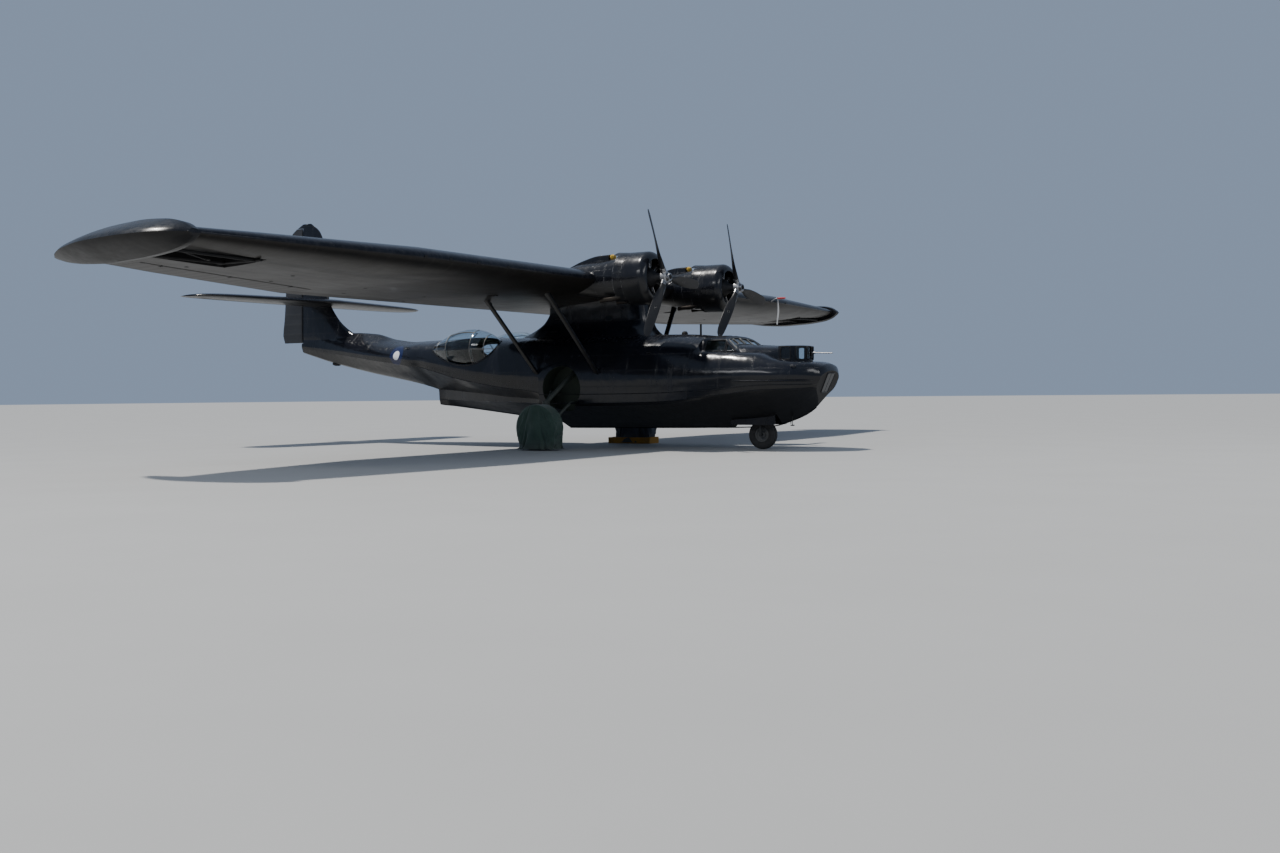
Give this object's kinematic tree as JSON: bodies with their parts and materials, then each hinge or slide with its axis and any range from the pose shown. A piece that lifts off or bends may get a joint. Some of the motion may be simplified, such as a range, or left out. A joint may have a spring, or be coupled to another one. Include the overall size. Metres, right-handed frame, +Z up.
{
  "type": "twin-engine amphibious flying boat",
  "caption": "Amphibious flying boat with a stepped hull, a wing on a central pylon, two radial engines, side blisters, folding wing-tip floats and a tricycle wheel gear.",
  "frame": {"origin": "on the ground, under the middle of the bounding box", "axes": "+X to the bow, +Y to port, +Z up"},
  "size_m": [19.4, 31.7, 7.08],
  "materials": {
    "black_paint": "gloss",
    "black_skin": "gloss black paint on sheet",
    "doped_fabric": "doped and painted",
    "glazing": "clear",
    "engine_castings": "satin",
    "propeller_metal": "satin",
    "bare_steel": "satin",
    "tyre_rubber": "matte",
    "cover_canvas": "matte",
    "red_fabric": "matte",
    "yellow_fabric": "matte",
    "yellow_wood": "painted"
  },
  "bodies": {
    "airframe": {"hull_bow": "black_paint", "hull_centre": "black_paint", "hull_waist": "black_paint", "hull_tail": "black_paint", "pylon": "black_paint", "bow_enclosure": "black_paint", "cockpit_canopy": "black_paint", "cowling_port": "black_paint", "cowling_starboard": "black_paint", "nacelle_port": "black_paint", "nacelle_starboard": "black_paint", "wing_centre": "black_skin", "wing_port": "black_skin", "wing_starboard": "black_skin", "fin": "black_skin", "tailplane": "black_skin", "bow_glazing": "glazing", "cockpit_glazing": "glazing", "blister_glass_port": "glazing", "blister_glass_starboard": "glazing", "engine_port": "engine_castings", "engine_starboard": "engine_castings", "strut_front_port": "black_paint", "strut_front_starboard": "black_paint", "strut_rear_port": "black_paint", "strut_rear_starboard": "black_paint", "main_leg_port": "black_paint", "main_leg_starboard": "black_paint", "nose_leg": "black_paint", "nose_door_port": "black_paint", "nose_door_starboard": "black_paint", "deck_mast": "black_paint", "bow_barrel": "bare_steel", "pitot_tube": "bare_steel", "wheel_cover_port": "cover_canvas", "wheel_cover_starboard": "cover_canvas", "pitot_cover": "red_fabric", "intake_plug_port": "yellow_fabric", "intake_plug_starboard": "yellow_fabric", "wheel_chock_port": "yellow_wood"},
    "propeller_port": {"propeller_port": "propeller_metal"},
    "propeller_starboard": {"propeller_starboard": "propeller_metal"},
    "aileron_port": {"aileron_port": "doped_fabric"},
    "aileron_starboard": {"aileron_starboard": "doped_fabric"},
    "elevator_port": {"elevator_port": "doped_fabric"},
    "elevator_starboard": {"elevator_starboard": "doped_fabric"},
    "rudder": {"rudder": "doped_fabric"},
    "float_port": {"float_port": "black_skin"},
    "float_starboard": {"float_starboard": "black_skin"},
    "main_wheel_port": {"main_tyre_port": "tyre_rubber", "main_hub_port": "bare_steel"},
    "main_wheel_starboard": {"main_tyre_starboard": "tyre_rubber", "main_hub_starboard": "bare_steel"},
    "blister_hatch_port": {"blister_hatch_port": "glazing"},
    "blister_hatch_starboard": {"blister_hatch_starboard": "glazing"},
    "nose_steering": {"nose_fork": "black_paint"},
    "nose_wheel": {"nose_tyre": "tyre_rubber", "nose_hub": "bare_steel"}
  },
  "joints": [
    {"name": "propeller_port_spin", "type": "hinge", "parent": "airframe", "child": "propeller_port", "pos_m": [5.99, 2.075, 4.45], "axis": [1, 0, 0], "continuous": true},
    {"name": "main_wheel_port_spin", "type": "hinge", "parent": "airframe", "child": "main_wheel_port", "pos_m": [2.35, 2.51, 0.597], "axis": [0, 1, 0], "continuous": true},
    {"name": "propeller_starboard_spin", "type": "hinge", "parent": "airframe", "child": "propeller_starboard", "pos_m": [5.99, -2.075, 4.45], "axis": [1, 0, 0], "continuous": true},
    {"name": "main_wheel_starboard_spin", "type": "hinge", "parent": "airframe", "child": "main_wheel_starboard", "pos_m": [2.35, -2.51, 0.597], "axis": [0, 1, 0], "continuous": true},
    {"name": "aileron_port_hinge", "type": "hinge", "parent": "airframe", "child": "aileron_port", "pos_m": [0.94968, 11.73, 4.15845], "axis": [0.1226, 0.9923, 0.0198], "range_deg": [-20, 20]},
    {"name": "aileron_starboard_hinge", "type": "hinge", "parent": "airframe", "child": "aileron_starboard", "pos_m": [0.94968, -11.73, 4.15845], "axis": [-0.1226, 0.9923, -0.0198], "range_deg": [-20, 20]},
    {"name": "elevator_port_hinge", "type": "hinge", "parent": "airframe", "child": "elevator_port", "pos_m": [-8.35, 2.445, 4.48], "axis": [0, 1, 0], "range_deg": [-20, 25]},
    {"name": "elevator_starboard_hinge", "type": "hinge", "parent": "airframe", "child": "elevator_starboard", "pos_m": [-8.35, -2.445, 4.48], "axis": [0, 1, 0], "range_deg": [-20, 25]},
    {"name": "rudder_hinge", "type": "hinge", "parent": "airframe", "child": "rudder", "pos_m": [-8.77, 0, 5.0825], "axis": [0, 0, 1], "range_deg": [-22, 22]},
    {"name": "float_port_swing", "type": "hinge", "parent": "airframe", "child": "float_port", "pos_m": [2.5, 12.95, 4.16], "axis": [-1, 0, 0], "range_deg": [0, 85]},
    {"name": "float_starboard_swing", "type": "hinge", "parent": "airframe", "child": "float_starboard", "pos_m": [2.5, -12.95, 4.16], "axis": [1, 0, 0], "range_deg": [0, 85]},
    {"name": "blister_hatch_port_swing", "type": "hinge", "parent": "airframe", "child": "blister_hatch_port", "pos_m": [-1.15, 1.08, 2.79], "axis": [1, 0, 0], "range_deg": [0, 100]},
    {"name": "blister_hatch_starboard_swing", "type": "hinge", "parent": "airframe", "child": "blister_hatch_starboard", "pos_m": [-1.15, -1.08, 2.79], "axis": [-1, 0, 0], "range_deg": [0, 100]},
    {"name": "nose_steer", "type": "hinge", "parent": "airframe", "child": "nose_steering", "pos_m": [7.74, 0, 1], "axis": [0, 0, 1], "range_deg": [-30, 30]},
    {"name": "nose_wheel_spin", "type": "hinge", "parent": "nose_steering", "child": "nose_wheel", "pos_m": [7.74, 0, 0.381], "axis": [0, 1, 0], "continuous": true}
  ],
  "couplings": [
    {"joint": "elevator_starboard_hinge", "follows": "elevator_port_hinge", "ratio": 1},
    {"joint": "aileron_starboard_hinge", "follows": "aileron_port_hinge", "ratio": -1}
  ]
}
